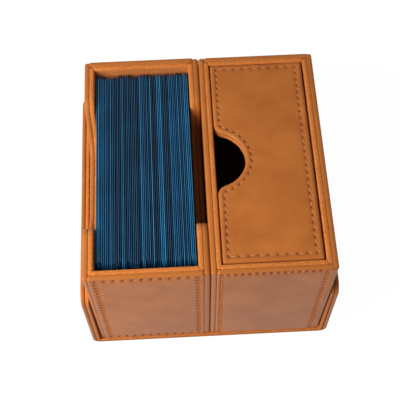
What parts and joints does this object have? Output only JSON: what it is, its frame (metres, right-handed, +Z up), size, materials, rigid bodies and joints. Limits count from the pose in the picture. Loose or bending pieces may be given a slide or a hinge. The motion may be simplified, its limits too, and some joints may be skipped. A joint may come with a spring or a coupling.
{
  "type": "card box with drawer",
  "caption": "Leather-covered card box with finger scoops and sleeved cards, beside a case with a thumb-notched drawer, both in an open-ended cradle.",
  "frame": {"origin": "centre of the cradle's underside", "axes": "+Z up, +X to the right across the two boxes, +Y towards the back, so the stitched front faces look towards -Y"},
  "size_m": [0.109, 0.1048, 0.0762],
  "materials": {
    "tan_leather": "smooth tan artificial leather with a soft satin sheen",
    "tan_suede": "fine-grained orange-tan suede cloth",
    "sleeve_plastic": "dark blue glossy plastic film",
    "card_paper": "plain white card"
  },
  "bodies": {
    "cradle": {"cradle_base_board": "tan_leather", "cradle_left_board": "tan_leather", "cradle_right_board": "tan_leather", "cradle_base_lining": "tan_suede", "cradle_left_lining": "tan_suede", "cradle_right_lining": "tan_suede"},
    "card_box": {"card_box_left_board": "tan_leather", "card_box_right_board": "tan_leather", "card_box_front_board": "tan_leather", "card_box_back_board": "tan_leather", "card_box_base_board": "tan_leather", "card_box_left_lining": "tan_suede", "card_box_right_lining": "tan_suede", "card_box_front_lining": "tan_suede", "card_box_back_lining": "tan_suede", "card_box_base_lining": "tan_suede"},
    "card_stack": {"card_sleeves": "sleeve_plastic", "playing_cards": "card_paper"},
    "drawer_case": {"drawer_case_left_board": "tan_leather", "drawer_case_right_board": "tan_leather", "drawer_case_front_board": "tan_leather", "drawer_case_back_board": "tan_leather", "drawer_case_base_board": "tan_leather", "drawer_case_left_lining": "tan_suede", "drawer_case_right_lining": "tan_suede", "drawer_case_front_lining": "tan_suede", "drawer_case_back_lining": "tan_suede", "drawer_case_base_lining": "tan_suede"},
    "drawer": {"drawer_face_board": "tan_leather", "drawer_face_lining": "tan_suede", "drawer_foot": "tan_suede", "drawer_front_wall": "tan_suede", "drawer_back_wall": "tan_suede", "drawer_floor": "tan_suede"}
  },
  "joints": [
    {"name": "card_box_lift", "type": "slide", "parent": "cradle", "child": "card_box", "axis": [0, 0, 1], "range_m": [0, 0.05]},
    {"name": "drawer_case_lift", "type": "slide", "parent": "cradle", "child": "drawer_case", "axis": [0, 0, 1], "range_m": [0, 0.05]},
    {"name": "card_stack_lift", "type": "slide", "parent": "card_box", "child": "card_stack", "axis": [0, 0, 1], "range_m": [0, 0.07]},
    {"name": "drawer_slide", "type": "slide", "parent": "drawer_case", "child": "drawer", "axis": [0, 0, 1], "range_m": [0, 0.06]}
  ]
}
